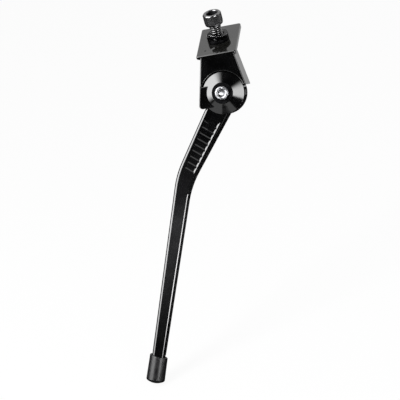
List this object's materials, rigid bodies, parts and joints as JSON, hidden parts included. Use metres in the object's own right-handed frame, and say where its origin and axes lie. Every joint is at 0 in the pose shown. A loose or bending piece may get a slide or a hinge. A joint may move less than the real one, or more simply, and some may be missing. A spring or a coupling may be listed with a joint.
{
  "type": "bicycle kickstand",
  "caption": "Black bicycle side stand: top plate with a mounting bolt, sloping bracket, and a bent leg with a ribbed panel and rubber foot that folds back on a sprung pivot.",
  "frame": {"origin": "on the mounting bolt's axis, at the top face of the bracket's plate", "axes": "+Z along the bolt, up and out of the plate's face; +X across the plate, towards the bicycle's rear; -Y towards the bicycle's left side, where the leg is"},
  "size_m": [0.127, 0.165, 0.265],
  "materials": {
    "gloss_black_alloy": "gloss black coating on cast and forged alloy",
    "black_rubber": "moulded rubber, satin",
    "zinc_steel": "bright zinc plate",
    "black_steel": "black oxide, oiled",
    "bronze": "sintered bearing bronze",
    "spring_steel": "plain spring steel"
  },
  "bodies": {
    "bracket": {"mounting_bracket": "gloss_black_alloy", "pivot_bolt": "zinc_steel", "front_washer": "black_steel", "rear_thrust_washer": "spring_steel", "nut_washer": "zinc_steel", "pivot_nut": "zinc_steel", "detent_spring": "spring_steel", "lock_washer": "black_steel", "flat_washer": "black_steel"},
    "leg": {"stand_leg": "gloss_black_alloy", "rubber_foot": "black_rubber", "pivot_bush": "bronze"},
    "plunger": {"detent_plunger": "spring_steel"},
    "screw": {"mounting_bolt": "black_steel"}
  },
  "joints": [
    {"name": "leg_swing", "type": "hinge", "parent": "bracket", "child": "leg", "pos_m": [0, -0.01972, -0.03971], "axis": [0, -0.8988, 0.4384], "range_deg": [0, 95]},
    {"name": "plunger_slide", "type": "slide", "parent": "bracket", "child": "plunger", "axis": [0, -0.4384, -0.8988], "range_m": [0, 0.0013], "stiffness_N_per_m": 10000, "springref_m": 0.0035, "deforming": ["detent_spring"]},
    {"name": "screw_travel", "type": "slide", "parent": "bracket", "child": "screw", "axis": [0, 0, 1], "range_m": [-0.0063, 0.012]}
  ]
}
